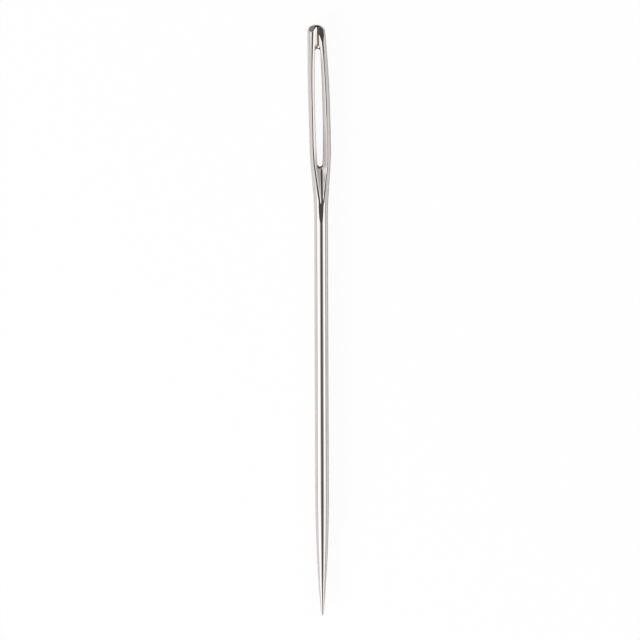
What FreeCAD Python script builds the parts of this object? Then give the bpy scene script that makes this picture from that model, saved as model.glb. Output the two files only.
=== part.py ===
# Large eye needle: one piece of steel wire with a ground point and a stamped head.
#
# The needle lies flat, as it would on a table, with the eye facing up.
# X is across the needle, Y runs along it from the point to the head, and Z is up.
# The origin is at the middle of its box, on the surface it lies on.
# While it is built, its point is at Y = 0 and the wire's axis is the Y axis.

import FreeCAD, Part
import math
import os

import Sketcher

Vector = FreeCAD.Vector

doc = FreeCAD.newDocument("large_eye_needle")


# Driving sizes

sheet = doc.addObject("Spreadsheet::Sheet", "sizes")

SIZES = [
    # the wire and its point
    ("overall_length", 60.0, "point to head end"),
    ("wire_diameter", 1.40, "round shaft"),
    ("point_length", 12.5, "ground taper of the point"),
    ("tip_radius", 0.14, "rounded tip"),
    # the stamped head, its heights measured from where the wire starts to widen
    ("head_length", 19.4, "start of the widening to the head end"),
    ("flare_length", 7.2, "round wire to full head width"),
    ("head_width", 2.20, "widest, across the eye"),
    ("head_thickness", 1.90, "section through the eye, before the gutters are sunk"),
    ("taper_length", 6.85, "full width down to the crown"),
    ("crown_width", 1.80, "head width at the foot of the crown"),
    ("crown_thickness", 1.30, "head thickness at the foot of the crown"),
    ("crown_height", 0.65, "rounded end of the head"),
    ("head_set", 0.45, "how far the stamping pushed the head end to one side"),
    # the punched eye
    ("eye_length", 11.8, "opening, end to end"),
    ("eye_end_width", 0.56, "opening at its ends"),
    ("eye_bow", 0.12, "how far each side of the opening bows out at its middle"),
    ("eye_land", 2.45, "eye to head end"),
    ("eye_offset", 0.05, "eye beside the middle of the head"),
    ("eye_lean", 1.0, "degrees, eye against the wire's axis"),
    ("eye_rim_radius", 0.10, "rounding of the eye's edges"),
    # the gutters that lead the thread into the eye, the same on both faces
    ("gutter_set", 0.10, "start of the head to the gutter's lower point"),
    ("gutter_offset", 0.12, "gutter beside the middle of the eye, whose lean it shares"),
    ("gutter_wall_angle", 35.0, "degrees, slope of its two walls"),
    ("gutter_root_radius", 0.12, "rounding along its bottom"),
    ("lower_web", 0.44, "metal between the gutters below the eye"),
    ("upper_web", 0.60, "metal between the gutters above the eye"),
]

for row, (alias, value, meaning) in enumerate(SIZES, start=1):
    sheet.set(f"A{row}", alias.replace("_", " "))
    sheet.set(f"B{row}", str(value))
    sheet.set(f"C{row}", meaning)
    sheet.setAlias(f"B{row}", alias)
doc.recompute()

HEAD_START = "sizes.overall_length - sizes.head_length"


def size(expression):
    """The present value of an expression in the sheet's sizes, in mm or as a bare number."""
    value = sheet.evalExpression(expression)
    return float(getattr(value, "Value", value))


def side_set(height):
    """Sideways place of the head's middle line at a height above the start of the head.

    The head leaves the wire straight and curves away with the square of its height.
    """
    return f"-sizes.head_set * (({height}) / sizes.head_length)^2"


# The eye's heights above the start of the head, and its sideways place

EYE_TOP = "(sizes.head_length - sizes.eye_land)"
EYE_FOOT = "(sizes.head_length - sizes.eye_land - sizes.eye_length)"
EYE_MIDDLE = f"(({EYE_FOOT} + {EYE_TOP}) / 2)"
EYE_SIDE = f"({side_set(EYE_MIDDLE)} - sizes.eye_offset)"


def gutter_side(height):
    """Sideways place of the gutter at a height above the start of the head.

    The gutter runs straight, along the eye but a little to one side of its middle.
    """
    drift = f"(({height}) - {EYE_MIDDLE}) * tan(sizes.eye_lean)"
    return f"{EYE_SIDE} + sizes.gutter_offset - {drift}"


# Sketches

needle = doc.addObject("PartDesign::Body", "needle")
needle.Label = "needle"


def origin_plane(role):
    """The body's own origin plane with this role."""
    return next(f for f in needle.Origin.OriginFeatures if f.Role == role)


def bind(sketch, kind, geometry, expression):
    """Add a dimension to a sketch and drive it from the sheet, which keeps angles in degrees."""
    present = math.radians(size(expression)) if kind == "Angle" else size(expression)
    index = sketch.addConstraint(Sketcher.Constraint(kind, *geometry, present))
    sketch.setExpression(f"Constraints[{index}]", expression)


def join(sketch, *constraints):
    """Add constraints that carry no dimension."""
    for constraint in constraints:
        sketch.addConstraint(Sketcher.Constraint(*constraint))


def new_sketch(name, role):
    """An empty sketch on one of the body's origin planes."""
    sketch = needle.newObject("Sketcher::SketchObject", name)
    sketch.AttachmentSupport = (origin_plane(role), [""])
    sketch.MapMode = "FlatFace"
    return sketch


def cross_section(name, height, side):
    """An empty sketch across the head, at a height above the head's start and a sideways place."""
    sketch = new_sketch(name, "XZ_Plane")
    along = f"-({HEAD_START} + {height})"
    sketch.AttachmentOffset = FreeCAD.Placement(
        Vector(size(side), 0, size(along)), FreeCAD.Rotation())
    sketch.setExpression("AttachmentOffset.Base.x", side)
    sketch.setExpression("AttachmentOffset.Base.z", along)
    return sketch


def round_section(name, below):
    """A circle across the plain wire, at a distance below the head's start."""
    sketch = new_sketch(name, "XZ_Plane")
    along = f"-({HEAD_START} - {below})"
    sketch.AttachmentOffset = FreeCAD.Placement(Vector(0, 0, size(along)), FreeCAD.Rotation())
    sketch.setExpression("AttachmentOffset.Base.z", along)
    sketch.addGeometry(Part.Circle(Vector(), Vector(0, 0, 1), size("sizes.wire_diameter / 2")))
    join(sketch, ("Coincident", 0, 3, -1, 1))
    bind(sketch, "Diameter", (0,), "sizes.wire_diameter")
    return sketch


def oval_section(name, height, width, thickness):
    """An ellipse across the head, wider than it is thick."""
    sketch = cross_section(name, height, side_set(height))
    half_width, half_thickness = size(width) / 2, size(thickness) / 2
    sketch.addGeometry(Part.Ellipse(
        Vector(half_width, 0, 0), Vector(0, half_thickness, 0), Vector()))
    sketch.exposeInternalGeometry(0)
    long_axis, short_axis = 1, 2
    join(sketch, ("Coincident", 0, 3, -1, 1), ("Horizontal", long_axis))
    bind(sketch, "Distance", (long_axis,), width)
    bind(sketch, "Distance", (short_axis,), thickness)
    return sketch


def gutter_section(name, height, floor):
    """A vee with a rounded bottom, open upwards, its lowest point at floor above the middle."""
    sketch = cross_section(name, height, gutter_side(height))
    angle = math.radians(size("sizes.gutter_wall_angle"))
    radius = size("sizes.gutter_root_radius")
    bottom, top = size(floor), size(GUTTER_TOP)
    centre = Vector(0, bottom + radius, 0)
    foot = Vector(radius * math.sin(angle), centre.y - radius * math.cos(angle), 0)
    rim = Vector(foot.x + (top - foot.y) / math.tan(angle), top, 0)
    left_foot, left_rim = Vector(-foot.x, foot.y, 0), Vector(-rim.x, rim.y, 0)
    sketch.addGeometry([
        Part.LineSegment(left_rim, left_foot),
        Part.Arc(left_foot, Vector(0, bottom, 0), foot),
        Part.LineSegment(foot, rim),
        Part.LineSegment(rim, left_rim),
    ], False)
    left_wall, root, right_wall, lid = 0, 1, 2, 3
    join(
        sketch,
        ("Tangent", left_wall, 2, root, 1),
        ("Tangent", root, 2, right_wall, 1),
        ("Coincident", right_wall, 2, lid, 1),
        ("Coincident", lid, 2, left_wall, 1),
        ("Horizontal", lid),
        ("Equal", left_wall, right_wall),
        ("PointOnObject", root, 3, -2),
    )
    bind(sketch, "Radius", (root,), "sizes.gutter_root_radius")
    bind(sketch, "Angle", (right_wall,), "sizes.gutter_wall_angle")
    bind(sketch, "DistanceY", (-1, 1, root, 3), f"{floor} + sizes.gutter_root_radius")
    bind(sketch, "DistanceY", (-1, 1, lid, 1), GUTTER_TOP)
    return sketch


def loft(kind, name, sections):
    """A smooth loft through sketches, added to the body or cut from it."""
    feature = needle.newObject(f"PartDesign::{kind}", name)
    feature.Profile = sections[0]
    feature.Sections = sections[1:]
    return feature


# Point and shaft: half the needle's outline, turned about its axis.
# The tip is a small arc, and the point's side one long arc that runs into the shaft.

LEAD_IN = "sizes.wire_diameter"
SHAFT_TOP = f"{HEAD_START} - {LEAD_IN}"

outline = new_sketch("point_and_shaft_outline", "XY_Plane")
wire_radius = size("sizes.wire_diameter / 2")
tip_radius = size("sizes.tip_radius")
point_length = size("sizes.point_length")
shaft_top = size(SHAFT_TOP)
ogive_radius = ((wire_radius ** 2 + (point_length - tip_radius) ** 2 - tip_radius ** 2)
                / (2 * (wire_radius - tip_radius)))
ogive_centre = Vector(wire_radius - ogive_radius, point_length, 0)
tip_centre = Vector(0, tip_radius, 0)
join_angle = -math.asin((point_length - tip_radius) / (ogive_radius - tip_radius))


def on_circle(centre, radius, angle):
    """The point on a circle at an angle from the X direction, in radians."""
    return centre + Vector(math.cos(angle), math.sin(angle), 0) * radius


tip_join = on_circle(tip_centre, tip_radius, join_angle)
tip_middle = on_circle(tip_centre, tip_radius, (join_angle - math.pi / 2) / 2)
ogive_middle = on_circle(ogive_centre, ogive_radius, join_angle / 2)
shaft_foot = Vector(wire_radius, point_length, 0)
outline.addGeometry([
    Part.Arc(Vector(), tip_middle, tip_join),
    Part.Arc(tip_join, ogive_middle, shaft_foot),
    Part.LineSegment(shaft_foot, Vector(wire_radius, shaft_top, 0)),
    Part.LineSegment(Vector(wire_radius, shaft_top, 0), Vector(0, shaft_top, 0)),
    Part.LineSegment(Vector(0, shaft_top, 0), Vector()),
], False)
tip, ogive, side, top, axis = range(5)
join(
    outline,
    ("Coincident", tip, 1, -1, 1),
    ("PointOnObject", tip, 3, -2),
    ("Tangent", tip, 2, ogive, 1),
    ("Tangent", ogive, 2, side, 1),
    ("Coincident", side, 2, top, 1),
    ("Coincident", top, 2, axis, 1),
    ("Coincident", axis, 2, tip, 1),
    ("Vertical", side),
    ("Horizontal", top),
    ("Vertical", axis),
)
bind(outline, "Radius", (tip,), "sizes.tip_radius")
bind(outline, "DistanceX", (-1, 1, side, 1), "sizes.wire_diameter / 2")
bind(outline, "DistanceY", (-1, 1, side, 1), "sizes.point_length")
bind(outline, "DistanceY", (-1, 1, side, 2), SHAFT_TOP)

shaft = needle.newObject("PartDesign::Revolution", "point_and_shaft")
shaft.Profile = outline
shaft.ReferenceAxis = (outline, ["V_Axis"])
shaft.Angle = 360


# Head: ovals strung along a middle line that curves gently to one side.
# It leaves the wire round, swells smoothly to its full width and tapers to the crown.

FLARE_STEPS = 4
TAPER_STEPS = 4
TAPER_POWER = 1.6
TAPER_START = "(sizes.head_length - sizes.crown_height - sizes.taper_length)"
CROWN_START = "(sizes.head_length - sizes.crown_height)"
WIDENING = "(sizes.head_width - sizes.wire_diameter)"
THICKENING = "(sizes.head_thickness - sizes.wire_diameter)"
NARROWING = "(sizes.head_width - sizes.crown_width)"
THINNING = "(sizes.head_thickness - sizes.crown_thickness)"

head_sections = [
    round_section("wire_below_head", LEAD_IN),
    round_section("wire_at_head", "0"),
]
for step in range(1, FLARE_STEPS + 1):
    share = step / FLARE_STEPS
    swell = 3 * share ** 2 - 2 * share ** 3
    head_sections.append(oval_section(
        f"flare_{step}", f"sizes.flare_length * {share}",
        f"sizes.wire_diameter + {WIDENING} * {swell}",
        f"sizes.wire_diameter + {THICKENING} * {swell}"))
head_sections.append(oval_section(
    "eye_middle", f"(sizes.flare_length + {TAPER_START}) / 2",
    "sizes.head_width", "sizes.head_thickness"))
head_sections.append(oval_section(
    "taper_foot", TAPER_START, "sizes.head_width", "sizes.head_thickness"))
for step in range(1, TAPER_STEPS + 1):
    share = step / TAPER_STEPS
    lost = share ** TAPER_POWER
    head_sections.append(oval_section(
        f"taper_{step}", f"{TAPER_START} + sizes.taper_length * {share}",
        f"sizes.head_width - {NARROWING} * {lost}",
        f"sizes.head_thickness - {THINNING} * {lost}"))
head = loft("AdditiveLoft", "head", head_sections)


# Crown: the rounded end of the head, a half ellipse in both views with a small flat on top.

CROWN_STEPS = 5
CROWN_LAST_ANGLE = math.radians(78.5)

crown_sections = [oval_section(
    "crown_base", CROWN_START, "sizes.crown_width", "sizes.crown_thickness")]
for step in range(1, CROWN_STEPS + 1):
    angle = CROWN_LAST_ANGLE * step / CROWN_STEPS
    rise = math.sin(angle) / math.sin(CROWN_LAST_ANGLE)
    crown_sections.append(oval_section(
        f"crown_{step}", f"{CROWN_START} + sizes.crown_height * {rise}",
        f"sizes.crown_width * {math.cos(angle)}", f"sizes.crown_thickness * {math.cos(angle)}"))
crown = loft("AdditiveLoft", "crown", crown_sections)


# Gutters: one vee along each face, from a point below the eye up over the head end.
# Its floor slopes down to the eye and stays low from there, and the eye is punched through it.

GUTTER_TOP = "sizes.head_thickness"
GUTTER_RUN = f"({EYE_FOOT} - sizes.gutter_set)"
GUTTER_FALL = "((sizes.wire_diameter - sizes.lower_web) / 2)"
RUN_SHARES = (-0.2, 0.2, 0.6, 1.0)
EYE_STEPS = 4

gutter_sections = []
for step, share in enumerate(RUN_SHARES):
    gutter_sections.append(gutter_section(
        f"gutter_run_{step}", f"sizes.gutter_set + {GUTTER_RUN} * {share}",
        f"sizes.wire_diameter / 2 - {GUTTER_FALL} * {share}"))
for step in range(1, EYE_STEPS + 1):
    share = step / EYE_STEPS
    gutter_sections.append(gutter_section(
        f"gutter_beside_eye_{step}", f"{EYE_FOOT} + sizes.eye_length * {share}",
        f"(sizes.lower_web * {1 - share} + sizes.upper_web * {share}) / 2"))
gutter_sections.append(gutter_section(
    "gutter_past_end", "sizes.head_length + sizes.crown_height", "sizes.upper_web / 2"))
upper_gutter = loft("SubtractiveLoft", "gutter", gutter_sections)

lower_gutter = needle.newObject("PartDesign::Mirrored", "gutter_other_face")
lower_gutter.Originals = [upper_gutter]
lower_gutter.MirrorPlane = (origin_plane("XY_Plane"), [""])
needle.Tip = lower_gutter


# Eye: a long slot, a little wider at its middle than at its ends, punched right through.

eye_height = f"({HEAD_START} + {EYE_MIDDLE})"

eye_outline = new_sketch("eye_outline", "XY_Plane")
eye_outline.AttachmentOffset = FreeCAD.Placement(
    Vector(size(EYE_SIDE), size(eye_height), 0),
    FreeCAD.Rotation(Vector(0, 0, 1), size("sizes.eye_lean")))
eye_outline.setExpression("AttachmentOffset.Base.x", EYE_SIDE)
eye_outline.setExpression("AttachmentOffset.Base.y", eye_height)
eye_outline.setExpression("AttachmentOffset.Rotation.Angle", "sizes.eye_lean")

end_radius = size("sizes.eye_end_width / 2")
end_centre = size("(sizes.eye_length - sizes.eye_end_width) / 2")
half_width = size("sizes.eye_end_width / 2 + sizes.eye_bow")
side_radius = ((end_centre ** 2 + half_width ** 2 - end_radius ** 2)
               / (2 * (half_width - end_radius)))
side_centre = half_width - side_radius
reach = Vector(-side_centre, end_centre, 0).normalize() * end_radius
corner = Vector(reach.x, end_centre + reach.y, 0)
eye_outline.addGeometry([
    Part.Arc(Vector(corner.x, corner.y, 0), Vector(0, end_centre + end_radius, 0),
             Vector(-corner.x, corner.y, 0)),
    Part.Arc(Vector(-corner.x, corner.y, 0), Vector(-half_width, 0, 0),
             Vector(-corner.x, -corner.y, 0)),
    Part.Arc(Vector(-corner.x, -corner.y, 0), Vector(0, -end_centre - end_radius, 0),
             Vector(corner.x, -corner.y, 0)),
    Part.Arc(Vector(corner.x, -corner.y, 0), Vector(half_width, 0, 0),
             Vector(corner.x, corner.y, 0)),
], False)
top_end, left_side, bottom_end, right_side = range(4)
join(
    eye_outline,
    ("Tangent", top_end, 2, left_side, 1),
    ("Tangent", left_side, 2, bottom_end, 1),
    ("Tangent", bottom_end, 2, right_side, 1),
    ("Tangent", right_side, 2, top_end, 1),
    ("PointOnObject", top_end, 3, -2),
    ("PointOnObject", right_side, 3, -1),
    ("Symmetric", top_end, 3, bottom_end, 3, -1, 1),
    ("Equal", left_side, right_side),
)
bind(eye_outline, "Radius", (top_end,), "sizes.eye_end_width / 2")
bind(eye_outline, "DistanceY", (-1, 1, top_end, 3), "(sizes.eye_length - sizes.eye_end_width) / 2")
bind(eye_outline, "DistanceX", (-1, 1, right_side, 3),
     "sizes.eye_end_width / 2 + sizes.eye_bow"
     " - (((sizes.eye_length - sizes.eye_end_width) / 2)^2"
     " + (sizes.eye_end_width / 2 + sizes.eye_bow)^2"
     " - (sizes.eye_end_width / 2)^2) / (2 * sizes.eye_bow)")

eye = needle.newObject("PartDesign::Pocket", "eye")
eye.Profile = eye_outline
eye.Type = "ThroughAll"
eye.SideType = "Symmetric"
doc.recompute()


# Eye rim: the edges where the punched walls meet the gutters, rounded so that thread isn't cut.

def is_eye_wall(face):
    """Whether a face is part of the punched opening, whose curved walls stand straight up."""
    surface = face.Surface
    return isinstance(surface, Part.Cylinder) and abs(surface.Axis.z) > abs(surface.Axis.y)


wall_edges = [edge for face in eye.Shape.Faces if is_eye_wall(face) for edge in face.Edges]
rim_edges = [
    f"Edge{number}" for number, edge in enumerate(eye.Shape.Edges, start=1)
    if any(edge.isSame(other) for other in wall_edges) and not isinstance(edge.Curve, Part.Line)]
rim = needle.newObject("PartDesign::Fillet", "eye_rim")
rim.Base = (eye, rim_edges)
rim.Radius = size("sizes.eye_rim_radius")
rim.setExpression("Radius", "sizes.eye_rim_radius")
needle.Tip = rim
doc.recompute()
removed = lower_gutter.Shape.Volume - eye.Shape.Volume
print("eye took", round(removed, 4), "cubic mm and its rim", round(
    eye.Shape.Volume - rim.Shape.Volume, 4))


# Write the piece

failed = [o.Name for o in doc.Objects if "Invalid" in o.State or "Error" in o.State]
if failed:
    raise RuntimeError(f"these did not build: {failed}")
if needle.Shape.isNull() or not needle.Shape.isValid() or len(needle.Shape.Solids) != 1:
    raise RuntimeError("the needle is not one valid solid")

box = needle.Shape.optimalBoundingBox(False, False)
needle.Placement = FreeCAD.Placement(
    Vector(-box.Center.x, -box.Center.y, -box.ZMin), FreeCAD.Rotation())
doc.recompute()

# The needle is one piece of steel. It is written as five solids that meet face to face:
# point and shaft, foot of the head, the rail on each side of the eye, and head end.
# So a simulation can give each its own convex hull, and the eye stays open between the rails.

rail_reach = "(sizes.eye_length / 2 - sizes.eye_end_width)"
cuts = [size(HEAD_START), size(f"{eye_height} - {rail_reach}"), size(f"{eye_height} + {rail_reach}")]
margin = size("sizes.wire_diameter")
levels = [-margin, *cuts, box.YMax + margin]

solids = []
for low, high in zip(levels, levels[1:]):
    corner = Vector(box.XMin - margin, low, box.ZMin - margin) + needle.Placement.Base
    slab = Part.makeBox(box.XLength + 2 * margin, high - low, box.ZLength + 2 * margin, corner)
    solids += needle.Shape.common(slab).Solids
kept = sum(solid.Volume for solid in solids) / needle.Shape.Volume
if len(solids) != 5 or not all(solid.isValid() for solid in solids) or abs(kept - 1) > 0.001:
    raise RuntimeError(f"the needle was not cut cleanly: {len(solids)} solids, {kept} of its volume")

os.makedirs("parts", exist_ok=True)
Part.makeCompound(solids).exportStep(f"parts/{needle.Label}.step")
print("needle", box.XLength, box.YLength, box.ZLength, "volume", needle.Shape.Volume)
print("solids", [round(solid.Volume, 3) for solid in solids], "kept", kept)
print("placed by", needle.Placement.Base)
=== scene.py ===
"""Large eye needle: its polished steel skin, the white table under it and the light round it.

The needle lies along Y with its point towards -Y and its head towards +Y, and its eye faces up.
The classes keep every length in millimetres, and it becomes metres when a mesh is made.
Heights along the needle are measured from the tip of the point, sideways places from the
axis of the wire, and depths from the middle plane between the needle's two faces.
"""

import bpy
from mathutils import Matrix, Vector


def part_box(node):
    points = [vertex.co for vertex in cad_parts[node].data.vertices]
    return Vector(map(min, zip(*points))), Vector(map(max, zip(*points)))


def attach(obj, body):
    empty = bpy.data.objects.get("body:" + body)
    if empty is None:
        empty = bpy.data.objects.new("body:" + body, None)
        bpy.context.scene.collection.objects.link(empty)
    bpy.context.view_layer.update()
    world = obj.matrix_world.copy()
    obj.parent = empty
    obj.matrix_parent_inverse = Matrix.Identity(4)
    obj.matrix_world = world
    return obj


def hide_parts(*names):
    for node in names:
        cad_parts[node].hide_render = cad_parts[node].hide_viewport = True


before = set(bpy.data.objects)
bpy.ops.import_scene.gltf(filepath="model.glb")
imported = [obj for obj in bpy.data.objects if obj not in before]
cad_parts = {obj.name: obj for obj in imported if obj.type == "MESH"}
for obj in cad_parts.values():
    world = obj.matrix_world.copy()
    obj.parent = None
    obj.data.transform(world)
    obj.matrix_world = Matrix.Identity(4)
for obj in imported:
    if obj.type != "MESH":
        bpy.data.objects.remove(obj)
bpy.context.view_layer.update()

import logging
import math
from dataclasses import dataclass, field
from enum import Enum
from typing import Any

import bpy
import numpy as np
from numpy.typing import NDArray

log = logging.getLogger("large_eye_needle")

Array = NDArray[np.float64]
Colour = tuple[float, float, float, float]
# Pairs of a place and the value there, with straight lines between them
Steps = tuple[tuple[float, float], ...]

MM = 0.001


class Face(Enum):
    """The two broad faces of the needle, by the side of the middle plane that they lie on."""

    UPPER = 1.0
    LOWER = -1.0


# Small helpers


def linear(code: str) -> Colour:
    """Turn an sRGB colour code into the linear colour that the shaders take.

    Args:
        code: six hexadecimal digits, red then green then blue.

    Returns:
        Linear red, green, blue and an alpha of 1.
    """
    channels = [int(code[place:place + 2], 16) / 255 for place in (0, 2, 4)]
    red, green, blue = (
        c / 12.92 if c <= 0.04045 else ((c + 0.055) / 1.055) ** 2.4 for c in channels)
    return red, green, blue, 1.0


def smooth_step(share: Array) -> Array:
    """Rise from 0 to 1 with level ends: three times the square less twice the cube."""
    held = np.clip(share, 0.0, 1.0)
    return held * held * (3.0 - 2.0 * held)


def between(steps: Steps, place: Array) -> Array:
    """Values at some places, on the straight lines between the given steps."""
    return np.interp(place, *zip(*steps))


def lower_of(first: Array, second: Array, rounding: Array | float) -> Array:
    """The lower of two surfaces, with the ridge where they cross rounded over.

    Where they are nearer to each other than the rounding, the lower one sinks by the square of
    what is left of it, over four times the rounding. Elsewhere neither is touched.

    Args:
        first: depths of one surface.
        second: depths of the other.
        rounding: how near they come to each other where the rounding starts, over zero.

    Returns:
        The depths of the joined surface.
    """
    near = np.maximum(rounding - np.abs(first - second), 0.0)
    return np.minimum(first, second) - near * near / (4.0 * rounding)


def grid_faces(rows: int, columns: int, closed: bool) -> NDArray[np.int64]:
    """Corner numbers of the four-sided faces between the points of a grid.

    Args:
        rows: number of rows of points.
        columns: number of points in a row.
        closed: whether the last row is joined to the first one again.

    Returns:
        One line of four point numbers for each face.
    """
    numbers = np.arange(rows * columns).reshape(rows, columns)
    below = numbers if closed else numbers[:-1]
    above = np.roll(numbers, -1, axis=0) if closed else numbers[1:]
    return np.stack(
        [below[:, :-1], below[:, 1:], above[:, 1:], above[:, :-1]], axis=-1).reshape(-1, 4)


@dataclass
class Shell:
    """Points, faces and one value for each point, gathered from several grids into one skin."""

    points: list[Array] = field(default_factory=list)
    faces: list[NDArray[np.int64]] = field(default_factory=list)
    reach: list[Array] = field(default_factory=list)
    count: int = 0
    merge_distance: float = 1e-4

    def add(self, grid: Array, reach: Array, closed: bool, flipped: bool) -> None:
        """Add the faces of a grid of points.

        Args:
            grid: rows by columns by three coordinates.
            reach: rows by columns, how well a polishing barrel reaches each point, from 0 to 1,
                which also sets the painted shade in the gutters.
            closed: whether the last row meets the first one.
            flipped: whether the faces are turned round to look outwards.
        """
        rows, columns = grid.shape[:2]
        faces = grid_faces(rows, columns, closed) + self.count
        self.faces.append(faces[:, ::-1] if flipped else faces)
        self.points.append(grid.reshape(-1, 3))
        self.reach.append(reach.reshape(-1))
        self.count += rows * columns

    def to_object(self, name: str) -> bpy.types.Object:
        """Join the grids where they share points and make a smooth mesh object of them.

        Points that agree to a tenth of a micrometre become one. A face that has lost a corner
        by that becomes a triangle, and one that has lost two is left out.

        Args:
            name: name of the object and its mesh.

        Returns:
            The object, at the origin, in metres.
        """
        points = np.concatenate(self.points)
        _, first, numbers = np.unique(
            np.round(points / self.merge_distance).astype(np.int64),
            axis=0, return_index=True, return_inverse=True)
        faces = numbers.reshape(-1)[np.concatenate(self.faces)]
        repeated = faces == np.roll(faces, -1, axis=1)
        whole = faces[~repeated.any(axis=1)]
        pinched = faces[repeated.sum(axis=1) == 1]
        kept = ~repeated[repeated.sum(axis=1) == 1]
        triangles = pinched[kept].reshape(-1, 3)
        mesh = bpy.data.meshes.new(name)
        mesh.from_pydata((points[first] * MM).tolist(), [], whole.tolist() + triangles.tolist())
        mesh.polygons.foreach_set("use_smooth", np.ones(len(mesh.polygons), bool))
        # Besides the polish, this value darkens the colour down the gutters as painted shade
        attribute = mesh.attributes.new("polish_reach_and_painted_shade", "FLOAT", "POINT")
        attribute.data.foreach_set("value", np.concatenate(self.reach)[first].astype(np.float32))
        mesh.validate()
        made = bpy.data.objects.new(name, mesh)
        bpy.context.scene.collection.objects.link(made)
        return made


def add_node(
    tree: bpy.types.NodeTree,
    kind: str,
    inputs: dict[str | int, Any] | None = None,
    **settings: Any,
) -> bpy.types.Node:
    """Add one node to a node tree, set it up and wire it.

    Args:
        tree: tree that the node goes into.
        kind: Blender's name of the node type.
        inputs: for each input, by name or number, a plain value or the output socket to link.
        settings: properties of the node itself.

    Returns:
        The new node.
    """
    node = tree.nodes.new(kind)
    for name, value in settings.items():
        setattr(node, name, value)
    for name, value in (inputs or {}).items():
        if isinstance(value, bpy.types.NodeSocket):
            tree.links.new(value, node.inputs[name])
        else:
            node.inputs[name].default_value = value
    return node


def calculate(tree: bpy.types.NodeTree, operation: str, *terms: Any) -> bpy.types.NodeSocket:
    """Do one sum on one, two or three terms in a node tree and return the result's socket."""
    return add_node(tree, "ShaderNodeMath", dict(enumerate(terms)), operation=operation).outputs[0]


# Finishes


@dataclass(frozen=True)
class Grain:
    """A noise pattern drawn out along the needle, by the size of its grain in mm."""

    across: float
    along: float
    detail: float

    def noise(
        self, tree: bpy.types.NodeTree, place: bpy.types.NodeSocket,
    ) -> bpy.types.NodeSocket:
        """Add the pattern to a material.

        Args:
            tree: tree of the material.
            place: object coordinates, in metres.

        Returns:
            The noise, from 0 to 1.
        """
        shares = (1 / (self.across * MM), 1 / (self.along * MM), 1 / (self.across * MM))
        scaled = add_node(tree, "ShaderNodeMapping", {"Vector": place, "Scale": shares})
        return add_node(tree, "ShaderNodeTexNoise", {
            "Vector": scaled.outputs[0], "Scale": 1.0, "Detail": self.detail}).outputs[0]


@dataclass(frozen=True)
class PlatedSteel:
    """Nickel-plated steel wire, ground lengthwise at the point, then tumbled and polished.

    The plating gives the eye a bright, faintly warm grey. The wheel and the barrel leave
    hair-fine lines along the needle, so its reflections are long and clean lengthwise and a
    little torn sideways. The barrel doesn't reach the bottom of the gutters, which stay rougher,
    and there the colour is darkened as painted shade.
    """

    name: str = "plated_steel"
    bright: str = "DEDCDB"
    dull: str = "D4D1D0"
    # Painted shade: the darker grey deep in the gutters, where shade falls
    painted_gutter_shade: str = "C6C2C0"
    roughness: float = 0.08
    sheltered_roughness: float = 0.11
    roughness_spread: float = 0.08
    # The real lines are a few thousandths of a millimetre wide, too fine to show in the
    # render, so they are drawn about ten times as coarse
    lines: Grain = Grain(across=0.035, along=5.0, detail=3.0)
    line_depth: float = 0.00045
    waves: Grain = Grain(across=0.65, along=2.6, detail=1.0)
    wave_depth: float = 0.0011
    tarnish: Grain = Grain(across=1.4, along=6.0, detail=2.0)
    ground_height: float = 12.5
    ground_fade: float = 2.0
    ground_line_depth: float = 0.0012

    def build(self, tip_y: float) -> bpy.types.Material:
        """Make the material.

        Args:
            tip_y: where the tip of the point lies along Y, in mm.

        Returns:
            The material, with its patterns in object coordinates.
        """
        material = bpy.data.materials.new(self.name)
        material.use_nodes = True
        tree = material.node_tree
        tree.nodes.clear()
        place = add_node(tree, "ShaderNodeTexCoord").outputs["Object"]
        lines = self.lines.noise(tree, place)
        reach = add_node(
            tree, "ShaderNodeAttribute", attribute_name="polish_reach_and_painted_shade").outputs["Fac"]

        # Brighter and duller patches in the plating, and a darker grey down the gutters as painted
        # shade.
        # A Mix node's colours are its inputs 6 and 7 and its output 2
        open_metal = add_node(tree, "ShaderNodeMix", {
            0: self.tarnish.noise(tree, place), 6: linear(self.dull), 7: linear(self.bright)},
            data_type="RGBA").outputs[2]
        colour = add_node(tree, "ShaderNodeMix", {
            0: reach, 6: linear(self.painted_gutter_shade), 7: open_metal}, data_type="RGBA").outputs[2]

        # Smoother where the barrel reaches, and a little uneven from line to line
        polish = add_node(tree, "ShaderNodeMapRange", {
            "Value": reach, "To Min": self.sheltered_roughness, "To Max": self.roughness},
        ).outputs["Result"]
        spread = calculate(
            tree, "MULTIPLY_ADD", lines, self.roughness_spread, -self.roughness_spread / 2)
        rough = calculate(tree, "ADD", polish, spread)

        # Slow waves from drawing the wire, and polishing lines that are deeper on the point
        height = add_node(tree, "ShaderNodeSeparateXYZ", {0: place}).outputs["Y"]
        ground = add_node(tree, "ShaderNodeMapRange", {
            "Value": height, "From Min": (tip_y + self.ground_height) * MM,
            "From Max": (tip_y + self.ground_height - self.ground_fade) * MM,
            "To Min": 0.0, "To Max": 1.0}, interpolation_type="SMOOTHSTEP").outputs["Result"]
        scored = calculate(
            tree, "MULTIPLY_ADD", ground,
            (self.ground_line_depth - self.line_depth) / self.line_depth, 1.0)
        wavy = add_node(tree, "ShaderNodeBump", {
            "Strength": 1.0, "Distance": self.wave_depth * MM,
            "Height": self.waves.noise(tree, place)}).outputs[0]
        lined = add_node(tree, "ShaderNodeBump", {
            "Strength": 1.0, "Distance": self.line_depth * MM,
            "Height": calculate(tree, "MULTIPLY", lines, scored), "Normal": wavy}).outputs[0]

        shader = add_node(tree, "ShaderNodeBsdfPrincipled", {
            "Base Color": colour, "Metallic": 1.0, "Roughness": rough, "Normal": lined})
        add_node(tree, "ShaderNodeOutputMaterial", {"Surface": shader.outputs[0]})
        return material


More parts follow.
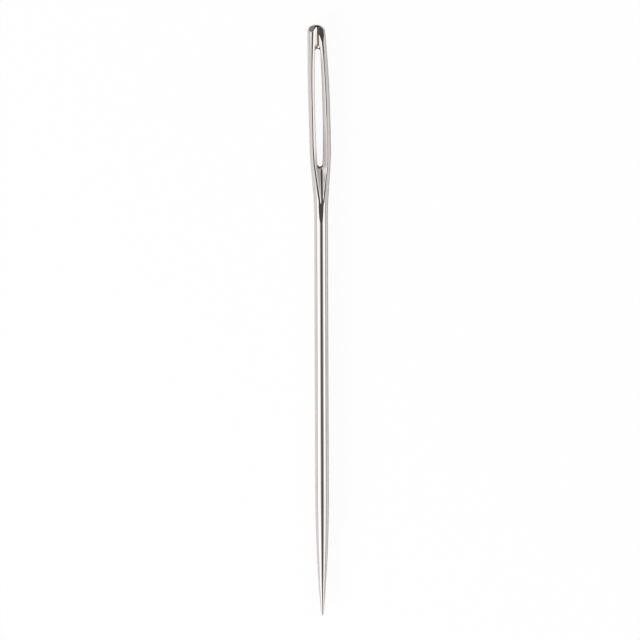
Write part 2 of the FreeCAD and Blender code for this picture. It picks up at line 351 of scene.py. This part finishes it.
@dataclass(frozen=True)
class WhiteSheet:
    """Matt white plastic sheet, lit through from below as for a cut-out picture.

    What looks at it, straight or by a reflection, sees part plain white and part the shaded
    sheet, so it is an even white to the eye and still keeps the needle's shadow.
    """

    name: str = "white_table"
    colour: str = "F2F1F0"
    roughness: float = 0.9
    seen_share: float = 0.95
    mirrored_share: float = 0.1

    def build(self) -> bpy.types.Material:
        """Make the material.

        Returns:
            The material.
        """
        material = bpy.data.materials.new(self.name)
        material.use_nodes = True
        tree = material.node_tree
        tree.nodes.clear()
        ray = add_node(tree, "ShaderNodeLightPath").outputs
        straight = calculate(tree, "MAXIMUM", ray["Is Camera Ray"], ray["Is Transmission Ray"])
        seen = calculate(
            tree, "MAXIMUM", calculate(tree, "MULTIPLY", straight, self.seen_share),
            calculate(tree, "MULTIPLY", ray["Is Glossy Ray"], self.mirrored_share))
        sheet = add_node(tree, "ShaderNodeBsdfPrincipled", {
            "Base Color": linear(self.colour), "Roughness": self.roughness,
            "Specular IOR Level": 0.0})
        white = add_node(tree, "ShaderNodeEmission", {"Color": linear("FFFFFF"), "Strength": 1.0})
        mixed = add_node(tree, "ShaderNodeMixShader", {
            0: seen, 1: sheet.outputs[0], 2: white.outputs[0]})
        add_node(tree, "ShaderNodeOutputMaterial", {"Surface": mixed.outputs[0]})
        return material


# Forms of the needle


@dataclass
class Wire:
    """The round wire and its ground point."""

    diameter: float = 1.40
    point_length: float = 12.5
    tip_radius: float = 0.14
    tip_rings: int = 10
    point_rings: int = 70
    shaft_rings: int = 56

    def heights(self, top: float) -> Array:
        """Heights of the rings from the tip to the foot of the head's skin.

        The rings of the tip stand at equal angles round its arc, so they crowd at its end.

        Args:
            top: height of the last ring.

        Returns:
            The heights in rising order.
        """
        angles = np.linspace(0.0, math.pi / 2, self.tip_rings)
        tip = self.tip_radius * (1.0 - np.cos(angles))
        point = np.linspace(self.tip_radius, self.point_length, self.point_rings)
        shaft = np.linspace(self.point_length, top, self.shaft_rings)
        return np.concatenate([tip[:-1], point[:-1], shaft])

    def radius(self, height: Array) -> Array:
        """Radius of the round wire at some heights.

        The tip is an arc round a centre on the axis. The point's side is one long arc whose
        centre is level with its end, chosen so that it meets the tip's arc and the shaft
        without a corner.

        Args:
            height: heights above the tip.

        Returns:
            The radius at each height.
        """
        full = self.diameter / 2
        rise = self.point_length - self.tip_radius
        arc = (full ** 2 + rise ** 2 - self.tip_radius ** 2) / (2 * (full - self.tip_radius))
        side = full - arc + np.sqrt(arc ** 2 - np.minimum(height - self.point_length, 0.0) ** 2)
        round_tip = np.sqrt(np.maximum(
            self.tip_radius ** 2 - (height - self.tip_radius) ** 2, 0.0))
        meeting = self.tip_radius - self.tip_radius * rise / (arc - self.tip_radius)
        return np.where(height < meeting, round_tip, np.maximum(side, 0.0))


@dataclass
class Head:
    """The stamped head: its outline, its thickness, the gutter along each face and its wear.

    The walls' slopes are in degrees. The wear and the start facet are depths in mm.
    """

    foot: float = 40.6
    end: float = 59.999
    flare_length: float = 7.2
    width: float = 2.20
    thickness: float = 1.90
    taper_length: float = 6.85
    taper_power: float = 1.6
    crown_height: float = 0.65
    crown_width: float = 1.80
    crown_thickness: float = 1.30
    side_set: float = 0.45

    gutter_middle_height: float = 51.65
    gutter_middle_side: float = -0.084
    gutter_lean: float = 1.3
    gutter_start: float = 40.7
    gutter_end: float = 45.75
    gutter_root: float = 0.12
    gutter_beds: Steps = ((44.8, 0.06), (46.0, 0.035))
    left_walls: Steps = ((45.0, 34.5), (47.5, 31.5))
    right_walls: Steps = (
        (41.6, 54.0), (44.9, 32.0), (45.2, 32.0), (45.7, 37.0),
        (48.0, 36.5), (50.0, 35.0), (56.0, 35.0), (57.8, 31.0))
    wire_face: float = 0.70
    lower_web: float = 0.44
    upper_web: float = 0.60
    web_top: float = 57.55

    left_wear: Steps = (
        (40.6, 0.0), (43.0, 0.06), (45.5, 0.06), (48.5, 0.045), (56.0, 0.045), (57.5, 0.05))
    right_wear: Steps = (
        (40.6, 0.0), (43.0, 0.07), (44.5, 0.045), (46.5, 0.03), (49.0, 0.03), (51.0, 0.045),
        (56.0, 0.045), (58.2, 0.07), (58.8, 0.16), (59.4, 0.30), (60.0, 0.45))
    wear_start: float = 40.8
    start_facet: Steps = (
        (39.6, 0.73), (39.8, 0.70), (40.3, 0.675), (41.0, 0.66), (41.6, 0.665), (42.3, 0.71),
        (43.0, 1.0))
    clear_of_metal: float = 1.0
    end_slope: float = 30.0
    end_edge: float = 0.20
    shoulder_rise: float = 2.0
    shoulder_reach: float = 3.0

    rounding_growth: float = 3.0
    least_rounding: float = 0.006
    crest_rounding: float = 0.05
    crown_rounding: float = 0.12
    end_rounding: float = 0.25
    least_wear_rounding: float = 0.001
    wear_rounding: float = 0.02
    # Depth share, of half the thickness, at which the gutter gets no polish and the full painted
    # shade
    painted_shade_and_polish_share: float = 0.45

    def middle(self, height: Array) -> Array:
        """Sideways place of the head's middle line, which curves away with the square of height."""
        share = np.maximum(height - self.foot, 0.0) / (self.end - self.foot)
        return -self.side_set * share * share

    def half_size(self, height: Array, wire: float, full: float, last: float) -> Array:
        """Half the width or thickness of the head at some heights, before the crown rounds it.

        It swells from the wire with level ends, stays full along the eye, and then loses a
        power of the share of the taper.

        Args:
            height: heights above the tip.
            wire: diameter of the wire.
            full: size along the eye.
            last: size at the foot of the crown.

        Returns:
            Half the size at each height.
        """
        crown_foot = self.end - self.crown_height
        taper = (height - crown_foot + self.taper_length) / self.taper_length
        swollen = wire + (full - wire) * smooth_step((height - self.foot) / self.flare_length)
        return (swollen - (full - last) * np.clip(taper, 0.0, 1.0) ** self.taper_power) / 2

    def half_width(self, height: Array, wire: float) -> Array:
        """Half the head's width at some heights above the tip, before the crown rounds it."""
        return self.half_size(height, wire, self.width, self.crown_width)

    def half_thickness(self, height: Array, wire: float) -> Array:
        """Half the head's thickness at some heights above the tip, along its middle line."""
        return self.half_size(height, wire, self.thickness, self.crown_thickness)

    def oval(self, across: Array, height: Array, wire: float) -> Array:
        """How far the head's face would stand from the middle plane without the gutter.

        It is an ellipse across the needle. Over the crown it is a dome: the squares of the
        share across and of the share of the crown's height are both taken from one. The
        barrel has worn a slope on the head's end, rounded into the dome. It falls with the
        distance from the head's outline, counted sideways too on the crown's left shoulder.

        Args:
            across: sideways places as shares of the half width, from -1 to 1.
            height: heights above the tip.
            wire: diameter of the wire.

        Returns:
            Depths from the middle plane.
        """
        over = np.maximum((height - self.end) / self.crown_height + 1.0, 0.0)
        dome = self.half_thickness(height, wire) * np.sqrt(
            np.maximum(1.0 - across * across - over * over, 0.0))
        shoulder = (smooth_step(self.shoulder_rise * over)
                    * smooth_step(-self.shoulder_reach * across))
        inward = self.crown_height * (1.0 - np.sqrt(across * across * shoulder + over * over))
        inward = np.maximum(inward, 0.0) + np.maximum(self.end - self.crown_height - height, 0.0)
        slope = self.end_edge + inward * math.tan(math.radians(self.end_slope))
        return lower_of(dome, slope, np.minimum(self.end_rounding, slope))

    def gutter_floor(self, height: Array) -> Array:
        """Depth of the gutter's lowest line from the middle plane.

        It falls evenly from the wire's surface to the eye's foot, and rises a little from
        there past the eye.

        Args:
            height: heights above the tip.

        Returns:
            The depths, before the level bed is laid over the root.
        """
        run = (height - self.gutter_start) / (self.gutter_end - self.gutter_start)
        falling = self.wire_face - (self.wire_face - self.lower_web / 2) * run
        beside = np.clip((height - self.gutter_end) / (self.web_top - self.gutter_end), 0.0, 1.0)
        rising = (self.lower_web + (self.upper_web - self.lower_web) * beside) / 2
        return np.where(height < self.gutter_end, falling, rising)

    def gutter_side(self, height: Array) -> Array:
        """Sideways place of the gutter, which runs straight beside the middle of the eye."""
        drift = (height - self.gutter_middle_height) * math.tan(math.radians(self.gutter_lean))
        return self.gutter_middle_side - drift

    def wall_angle(self, right: NDArray[np.bool_], height: Array) -> Array:
        """Slope of a wall of the gutter in radians, which differs a little along both walls.

        Args:
            right: whether the right-hand wall is asked for, else the left-hand one.
            height: heights above the tip.

        Returns:
            The slopes.
        """
        left_angle = between(self.left_walls, height)
        right_angle = between(self.right_walls, height)
        return np.radians(np.where(right, right_angle, left_angle))

    def gutter(self, aside: Array, height: Array) -> Array:
        """How far the gutter's surface stands from the middle plane.

        It is a vee with a round root, and the stamp has left a narrow level bed over the root.
        The higher of the two is taken, as the lower of both turned over.

        Args:
            aside: sideways distances from the gutter's middle.
            height: heights above the tip.

        Returns:
            Depths from the middle plane, which rise clear of the wire where the gutter starts.
        """
        angle = self.wall_angle(aside > 0, height)
        root = self.gutter_root
        round_part = root - np.sqrt(np.maximum(root ** 2 - aside ** 2, 0.0))
        wall = root * (1.0 - 1.0 / np.cos(angle)) + np.abs(aside) * np.tan(angle)
        vee = np.where(np.abs(aside) < root * np.sin(angle), round_part, wall)
        bed = between(self.gutter_beds, height)
        return self.gutter_floor(height) - lower_of(-vee, -bed, self.least_rounding)

    def crest(self, right: NDArray[np.bool_], height: Array, wire: float) -> Array:
        """Height at which a wall of the gutter would meet the ellipse's face in a sharp crest.

        Setting the wall's straight line equal to the ellipse gives a quadratic equation for
        the distance from the head's middle line, whose outer root is the crest.

        Args:
            right: whether the right-hand crest is asked for, else the left-hand one.
            height: heights above the tip.
            wire: diameter of the wire.

        Returns:
            Depths from the middle plane.
        """
        angle = self.wall_angle(right, height)
        slope = np.tan(angle)
        wide = self.half_width(height, wire)
        thick = self.half_thickness(height, wire)
        beside = self.gutter_side(height) - self.middle(height)
        start = (self.gutter_floor(height) + self.gutter_root * (1.0 - 1.0 / np.cos(angle))
                 - slope * np.where(right, beside, -beside))
        first = slope ** 2 + (thick / wide) ** 2
        inside = (start * slope) ** 2 - first * (start ** 2 - thick ** 2)
        return start + slope * (np.sqrt(np.maximum(inside, 0.0)) - start * slope) / first

    def wear(self, right: NDArray[np.bool_], height: Array, wire: float) -> Array:
        """Height down to which the stamp and the barrel have worn the metal flat.

        Beside the gutter it is the crest less its wear, but never under the gutter's bed.
        Where the gutter starts it is a shallow facet on the wire.

        Args:
            right: whether the right-hand side is asked for, else the left-hand one.
            height: heights above the tip.
            wire: diameter of the wire.

        Returns:
            Depths from the middle plane.
        """
        worn = np.where(right, between(self.right_wear, height), between(self.left_wear, height))
        flat = np.maximum(
            self.crest(right, height, wire) - worn,
            self.gutter_floor(height) + between(self.gutter_beds, height))
        flat = np.where(height < self.wear_start, self.clear_of_metal, flat)
        return np.minimum(flat, between(self.start_facet, height))

    def depth(self, across: Array, height: Array, wire: float) -> Array:
        """How far a face stands from the middle plane.

        It is the lower of the ellipse's face and the gutter, and the wear cuts off the crests
        between them. The corners are rounded, by more and more over the first part of the
        gutter, and once more over the crown.

        Args:
            across: sideways places as shares of the half width, from -1 to 1.
            height: heights above the tip.
            wire: diameter of the wire.

        Returns:
            Depths from the middle plane.
        """
        side = self.middle(height) + across * self.half_width(height, wire)
        aside = side - self.gutter_side(height)
        grown = smooth_step((height - self.foot) / self.rounding_growth)
        over = smooth_step((height - self.end + self.crown_height) / self.crown_height)
        rounding = (self.least_rounding + (self.crest_rounding - self.least_rounding) * grown
                    + self.crown_rounding * over)
        wear_rounding = (self.least_wear_rounding
                         + (self.wear_rounding - self.least_wear_rounding) * grown)
        sharp = lower_of(self.oval(across, height, wire), self.gutter(aside, height), rounding)
        return lower_of(sharp, self.wear(aside > 0, height, wire), wear_rounding)

    def polish_reach_and_painted_shade(self, across: Array, height: Array, wire: float) -> Array:
        """How well the polishing barrel reaches a point, and how little painted shade it gets: 1 on
        open metal, 0 deep in the gutter.
        """
        # It falls by the share of the depth that the gutter has taken from the ellipse's face
        sunk = self.oval(across, height, wire) - self.depth(across, height, wire)
        return 1.0 - smooth_step(sunk / (self.painted_shade_and_polish_share * self.thickness / 2))


@dataclass
class Eye:
    """The punched opening: a long slot with round ends and sides that bow out a little."""

    middle_height: float = 51.575
    middle_side: float = -0.1946
    length: float = 11.95
    end_width: float = 0.56
    bow: float = 0.12
    lean: float = 1.0
    rim: float = 0.035
    end_rim_run: float = 0.48
    end_rim_drop: float = 0.22
    collar: float = 0.06

    def end_centre(self) -> float:
        """Distance from the eye's middle to the centre of either round end."""
        return (self.length - self.end_width) / 2

    def outline(self, along: Array, turn: Array) -> tuple[Array, Array, Array]:
        """Points of the outline and the directions that point away from the opening.

        A point of a side lies on an arc whose radius follows from the bow and the length of
        the side. A point of a round end lies on a circle about its centre. Both are turned by
        the eye's lean about its middle.

        Args:
            along: for each point, its place from the foot, -1, to the top, 1, of the sides.
            turn: for each point, its angle round the end, 0 to the right and a quarter turn
                away from the eye's middle; an angle of 0 or a half turn is a side's point.

        Returns:
            Points and directions, each one line of two numbers for each point, and for each
            point how nearly it faces along the eye, the fourth power of that direction's sine.
        """
        reach, end = self.end_centre(), self.end_width / 2
        arc = (reach ** 2 + (end + self.bow) ** 2 - end ** 2) / (2 * self.bow)
        centre = end + self.bow - arc
        corner = math.atan2(reach, -centre)
        sign = np.where(along >= 0, 1.0, -1.0)
        side = np.where(np.cos(turn) >= 0, 1.0, -1.0)
        angle = along * corner
        on_side = np.stack([
            side * (centre + arc * np.cos(angle)), arc * np.sin(angle)], axis=-1)
        side_away = np.stack([side * np.cos(angle), np.sin(angle)], axis=-1)
        bent = corner + turn * (math.pi - 2 * corner) / math.pi
        on_end = np.stack([end * np.cos(bent), sign * (reach + end * np.sin(bent))], axis=-1)
        end_away = np.stack([np.cos(bent), sign * np.sin(bent)], axis=-1)
        is_end = (np.abs(along) >= 1.0)[..., None]
        points = np.where(is_end, on_end, on_side)
        away = np.where(is_end, end_away, side_away)
        endness = np.where(is_end[:, 0], np.sin(bent) ** 4, 0.0)
        lean = math.radians(self.lean)
        turned = np.array([[math.cos(lean), math.sin(lean)], [-math.sin(lean), math.cos(lean)]])
        place = np.array([self.middle_side, self.middle_height])
        return points @ turned + place, away @ turned, endness


@dataclass
class Needle:
    """The whole needle, one piece of steel wire.

    Its skin is narrower than the CAD model by the inset on each side, so that it stays inside
    the CAD model's box.
    """

    wire: Wire = field(default_factory=Wire)
    head: Head = field(default_factory=Head)
    eye: Eye = field(default_factory=Eye)
    finish: PlatedSteel = field(default_factory=PlatedSteel)
    axis_side: float = 0.1413
    inset: float = 0.003
    thinnest_edge: float = 0.01
    neck: float = 39.5
    neck_share: float = 0.36
    land_straight: float = 0.45
    neck_rows: int = 48
    foot_rows: int = 60
    rail_rows: int = 110
    land_rows: int = 72
    skin_columns: int = 52
    collar_columns: int = 4
    rim_columns: int = 8
    wall_columns: int = 3

    def _place(self, side: Array, height: Array, depth: Array) -> Array:
        """Join places on the needle into points of the shared frame.

        Args:
            side: places across, from the wire's axis.
            height: heights above the tip.
            depth: places above the middle plane.

        Returns:
            The points in mm, with their three coordinates along the last axis.
        """
        low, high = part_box("needle")
        middle = (low.z + high.z) / 2 / MM
        return np.stack(np.broadcast_arrays(
            side + self.axis_side, height + low.y / MM, depth + middle), axis=-1)

    def _rows(self) -> tuple[Array, Array, Array, Array]:
        """Where the head's rows start at its outline and where they end at the eye.

        The rows go once round the head: along the neck from left to right, up the right side
        to the head's end, and down the left side. The same rows go once round the eye: the
        neck's and the foot's rows share its lower end, and the land's rows its upper end.

        Returns:
            For each row, its start across, as a share of the half width, its starting height,
            its place along the eye's sides and its angle round the eye's end.
        """
        half_turn = math.pi
        lower = self.eye.middle_height - self.eye.end_centre()
        upper = self.eye.middle_height + self.eye.end_centre()

        neck = np.linspace(0.0, 1.0, self.neck_rows, endpoint=False)
        neck_turn = half_turn * (0.5 + self.neck_share / 2 - self.neck_share * neck)
        foot = np.linspace(0.0, 1.0, self.foot_rows, endpoint=False)
        foot_turn = half_turn * (0.5 - self.neck_share / 2) * (1.0 - foot)
        rail = np.linspace(0.0, 1.0, self.rail_rows, endpoint=False)
        land = np.linspace(0.0, 1.0, self.land_rows, endpoint=False)
        crown_foot = self.head.end - self.head.crown_height
        straight = self.land_straight
        over = np.clip((land - straight) / (1.0 - straight), 0.0, 1.0) * math.pi / 2
        land_height = np.where(
            land < straight, upper + (crown_foot - upper) * land / straight,
            crown_foot + self.head.crown_height * np.sin(over))

        across = np.concatenate([
            -np.cos(half_turn * neck), np.ones(self.foot_rows + self.rail_rows), np.cos(over)])
        height = np.concatenate([
            np.full(self.neck_rows, self.neck), self.neck + (lower - self.neck) * foot,
            lower + (upper - lower) * rail, land_height])
        along = np.concatenate([
            np.full(self.neck_rows + self.foot_rows, -1.0), -1.0 + 2.0 * rail,
            np.full(self.land_rows, 1.0)])
        turn = np.concatenate([
            neck_turn, foot_turn, np.zeros(self.rail_rows), half_turn / 2 * land])

        # The row at the head's end, and then the right side's rows again, mirrored, downwards
        left = slice(None, self.neck_rows - 1, -1)
        return (
            np.concatenate([across, [0.0], -across[left]]),
            np.concatenate([height, [self.head.end], height[left]]),
            np.concatenate([along, [1.0], along[left]]),
            np.concatenate([turn, [half_turn / 2], half_turn - turn[left]]))

    def _shares_across(self, points: Array) -> Array:
        """Sideways places of points, as shares of the head's half width at their heights."""
        side, height = points[..., 0], points[..., 1]
        return (side - self.head.middle(height)) / self.head.half_width(height, self.wire.diameter)

    def _head_face(self, face: Face) -> tuple[Array, Array]:
        """One face of the head, from the outline over the crest and down into the eye.

        A row runs from the outline to a collar round the eye, first slowly, as one less the
        cosine does, so that the round edge has points enough. From the collar it goes square
        to the eye's outline, over the rounded rim, a quarter ellipse by which the face sinks,
        longer at the eye's ends, and down the wall to the middle plane.

        Args:
            face: which of the two faces.

        Returns:
            The points, rows by columns by three, and the polish reach at each, which also sets the
            painted shade in the gutters.
        """
        across_start, height_start, along, turn = self._rows()
        outline, away, endness = self.eye.outline(along, turn)
        wire = self.wire.diameter

        run = 1.0 - np.cos(np.linspace(0.0, math.pi / 2, self.skin_columns, endpoint=False))
        rim_run = self.eye.rim + (self.eye.end_rim_run - self.eye.rim) * endness
        rim_drop = self.eye.rim + (self.eye.end_rim_drop - self.eye.rim) * endness
        collar = outline + (rim_run + self.eye.collar)[:, None] * away
        to_collar = self._shares_across(collar) - across_start
        skin_across = across_start[:, None] + to_collar[:, None] * run
        skin_height = height_start[:, None] + (collar[:, 1] - height_start)[:, None] * run

        angles = np.linspace(0.0, math.pi / 2, self.rim_columns)
        outer = np.linspace(self.eye.collar, 0.0, self.collar_columns, endpoint=False)
        aside = np.concatenate([
            rim_run[:, None] + outer, rim_run[:, None] * (1.0 - np.sin(angles))], axis=1)
        near = outline[:, None, :] + away[:, None, :] * aside[..., None]

        across = np.concatenate([skin_across, self._shares_across(near)], axis=1)
        height = np.concatenate([skin_height, near[..., 1]], axis=1)
        drop = np.concatenate([
            np.zeros((len(rim_drop), len(run) + len(outer))),
            rim_drop[:, None] * (1.0 - np.cos(angles))], axis=1)
        thinnest = np.where(drop > 0.0, self.thinnest_edge, 0.0)
        depth = np.maximum(self.head.depth(across, height, wire) - drop, thinnest)
        side = self.head.middle(height) + across * (self.head.half_width(height, wire) - self.inset)
        # The polish reach also sets the painted shade down the gutters
        reach = self.head.polish_reach_and_painted_shade(across, height, wire)

        # The eye's wall repeats the rim's last column straight down to the middle plane
        fall = np.linspace(1.0, 0.0, self.wall_columns + 1)[1:]
        depth = np.concatenate([depth, depth[:, -1:] * fall], axis=1)
        side, height, reach = (
            np.concatenate([grid, np.repeat(grid[:, -1:], len(fall), axis=1)], axis=1)
            for grid in (side, height, reach))
        return self._place(side, height, face.value * depth), reach

    def _shaft(self, face: Face) -> tuple[Array, Array]:
        """Half of the point and shaft, as half rings from the left side to the right.

        A ring's points stand at equal angles, as the neck's rows do, at the wire's radius.

        Args:
            face: which half.

        Returns:
            The points, rings by columns by three, and a polish reach of 1 for each, so no painted
            shade.
        """
        height = self.wire.heights(self.neck)[:, None]
        angle = math.pi * np.linspace(0.0, 1.0, self.neck_rows + 1)[None, :]
        radius = self.wire.radius(height)
        across = -np.cos(angle)
        side = across * np.maximum(radius - self.inset, 0.0)
        depth = radius * np.sqrt(np.maximum(1.0 - across * across, 0.0))
        return self._place(side, height, face.value * depth), np.ones(depth.shape)

    def build(self) -> bpy.types.Object:
        """Make the needle's skin, dress it and put it in the place of the plain solid.

        Returns:
            The needle.
        """
        skin = Shell()
        for face in Face:
            points, reach = self._head_face(face)
            skin.add(points, reach, closed=True, flipped=face is Face.UPPER)
            points, reach = self._shaft(face)
            skin.add(points, reach, closed=False, flipped=face is Face.LOWER)
        made = skin.to_object("needle_steel")
        made.data.materials.append(self.finish.build(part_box("needle")[0].y / MM))
        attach(made, "root")
        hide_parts("needle")
        return made


# Table, light and camera


@dataclass
class Table:
    """The white table that the needle lies on."""

    half_side: float = 1500.0
    finish: WhiteSheet = field(default_factory=WhiteSheet)

    def build(self) -> bpy.types.Object:
        """Make the table top, a flat square at the height that the needle rests on.

        Returns:
            The table top.
        """
        reach = self.half_side * MM
        corners = reach * np.array([[-1, -1, 0], [1, -1, 0], [1, 1, 0], [-1, 1, 0]], float)
        mesh = bpy.data.meshes.new("table_top")
        mesh.from_pydata(corners.tolist(), [], [(0, 1, 2, 3)])
        made = bpy.data.objects.new("table_top", mesh)
        bpy.context.scene.collection.objects.link(made)
        made.data.materials.append(self.finish.build())
        return made


@dataclass
class Tent:
    """The soft tent of light round the needle, as the needle's metal sees it.

    White cloth hangs at both sides, lighter on the left. Overhead it is open for the camera,
    a little to the right, and its far end, past the needle's head, is dark. The side levels
    go by the angle about the needle in degrees, 0 straight up and 90 to the right, and the
    end levels by the direction's part along the needle, 1 past its head.
    """

    side_levels: Steps = (
        (-180.0, 1.00), (-112.0, 0.95), (-89.0, 0.76), (-74.0, 0.72), (-62.0, 1.40),
        (-32.0, 1.40), (-22.0, 0.85), (-14.0, 0.50), (-7.0, 0.08), (13.0, 0.08), (20.0, 0.30),
        (29.0, 0.50), (37.0, 0.85), (42.0, 1.45), (62.0, 1.45), (68.0, 0.55), (91.0, 0.50),
        (115.0, 0.60), (180.0, 1.00))
    end_levels: Steps = (
        (-1.0, 0.45), (-0.80, 0.8), (-0.6, 1.0), (0.5, 1.0), (0.62, 0.45), (0.75, 0.1),
        (0.88, 0.15), (1.15, 0.3))
    skew: float = 0.4
    tint: str = "FFFCFB"

    def _side_level(
        self, tree: bpy.types.NodeTree, turn: bpy.types.NodeSocket, peak: float,
    ) -> bpy.types.NodeSocket:
        """Level of the tent's sides, as a share of their brightest place.

        Args:
            tree: tree of the world.
            turn: angle about the needle, in radians.
            peak: the highest of the side levels.

        Returns:
            The level, from 0 to 1.
        """
        share = calculate(tree, "MULTIPLY_ADD", turn, 1 / (2 * math.pi), 0.5)
        ramp = add_node(tree, "ShaderNodeValToRGB", {0: share})
        stops = ramp.color_ramp.elements
        while len(stops) < len(self.side_levels):
            stops.new(0.5)
        for stop, (angle, level) in zip(stops, self.side_levels):
            stop.position = angle / 360.0 + 0.5
            stop.color = (level / peak,) * 3 + (1.0,)
        return ramp.outputs[0]

    def _end_level(
        self, tree: bpy.types.NodeTree, along: bpy.types.NodeSocket,
    ) -> bpy.types.NodeSocket:
        """Level of the tent towards its ends, as a factor on that of its sides.

        Args:
            tree: tree of the world.
            along: the direction's part along the needle.

        Returns:
            The factor.
        """
        node = add_node(tree, "ShaderNodeFloatCurve", {"Value": along})
        node.mapping.use_clip = False
        line = node.mapping.curves[0]
        for point, place in zip(line.points, (self.end_levels[0], self.end_levels[-1])):
            point.location = place
        for place in self.end_levels[1:-1]:
            line.points.new(*place)
        node.mapping.update()
        return node.outputs[0]

    def build(self) -> bpy.types.World:
        """Make the world.

        The level follows the direction's angle about the needle, from straight up to either
        side, and fades towards both ends of the tent. Seen straight, the backdrop is white.

        Returns:
            The world, set on the scene.
        """
        world = bpy.data.worlds.new("light_tent")
        bpy.context.scene.world = world
        world.use_nodes = True
        tree = world.node_tree
        tree.nodes.clear()
        way = add_node(tree, "ShaderNodeTexCoord").outputs["Generated"]
        parts = add_node(tree, "ShaderNodeSeparateXYZ", {0: way}).outputs
        turn = calculate(tree, "ARCTAN2", parts["X"], parts["Z"])
        skewed = calculate(tree, "MULTIPLY_ADD", parts["X"], -self.skew, parts["Y"])
        peak = max(level for _, level in self.side_levels)
        level = calculate(tree, "MULTIPLY", calculate(
            tree, "MULTIPLY", self._side_level(tree, turn, peak),
            self._end_level(tree, skewed)), peak)

        cloth = add_node(tree, "ShaderNodeBackground", {
            "Color": linear(self.tint), "Strength": level})
        plain = add_node(tree, "ShaderNodeBackground", {"Color": linear("FFFFFF"), "Strength": 1.0})
        ray = add_node(tree, "ShaderNodeLightPath").outputs
        straight = calculate(tree, "MAXIMUM", ray["Is Camera Ray"], ray["Is Transmission Ray"])
        mixed = add_node(tree, "ShaderNodeMixShader", {
            0: straight, 1: cloth.outputs[0], 2: plain.outputs[0]})
        add_node(tree, "ShaderNodeOutputWorld", {"Surface": mixed.outputs[0]})
        return world


@dataclass
class Lamp:
    """One large soft lamp, low over the table on the left of the needle's point."""

    place: tuple[float, float, float] = (-380.0, -300.0, 200.0)
    side: float = 220.0
    power: float = 2.6

    def _turn(self) -> tuple[float, float, float]:
        """Angles that aim it at the needle's middle: tipped off the vertical, then turned."""
        x, y, z = self.place
        return math.atan2(math.hypot(x, y), z), 0.0, math.atan2(y, x) + math.pi / 2

    def build(self) -> bpy.types.Object:
        """Make the lamp, aimed at the needle's middle.

        Returns:
            The lamp.
        """
        light = bpy.data.lights.new("soft_lamp", "AREA")
        light.shape = "SQUARE"
        light.size = self.side * MM
        light.energy = self.power
        made = bpy.data.objects.new("soft_lamp", light)
        made.location = np.array(self.place) * MM
        made.rotation_euler = self._turn()
        bpy.context.scene.collection.objects.link(made)
        return made


@dataclass
class Camera:
    """The camera, straight above the needle, turned by a small lean in degrees."""

    height: float = 420.0
    needle_share: float = 0.925
    lean: float = 0.2
    sensor: float = 36.0
    clip_start: float = 10.0

    def build(self) -> bpy.types.Object:
        """Make the camera, with a lens that gives the needle its share of the picture.

        Returns:
            The camera, set on the scene.
        """
        low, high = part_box("needle")
        length = (high.y - low.y) / MM
        data = bpy.data.cameras.new("camera")
        data.sensor_width = self.sensor
        data.lens = self.sensor * (self.height - high.z / MM) * self.needle_share / length
        data.clip_start = self.clip_start * MM
        made = bpy.data.objects.new("camera", data)
        made.location = ((low.x + high.x) / 2, (low.y + high.y) / 2, self.height * MM)
        made.rotation_euler = (0.0, 0.0, -math.radians(self.lean))
        bpy.context.scene.collection.objects.link(made)
        bpy.context.scene.camera = made
        return made


def main() -> None:
    """Build the needle, the table, the light and the camera."""
    logging.basicConfig(level=logging.INFO, format="%(name)s: %(message)s")
    bpy.context.scene.view_settings.view_transform = "Standard"
    made = Needle().build()
    log.info("%s has %d faces", made.name, len(made.data.polygons))
    for part in (Table(), Tent(), Lamp(), Camera()):
        log.info("made %s", part.build().name)


if __name__ == "__main__":
    main()
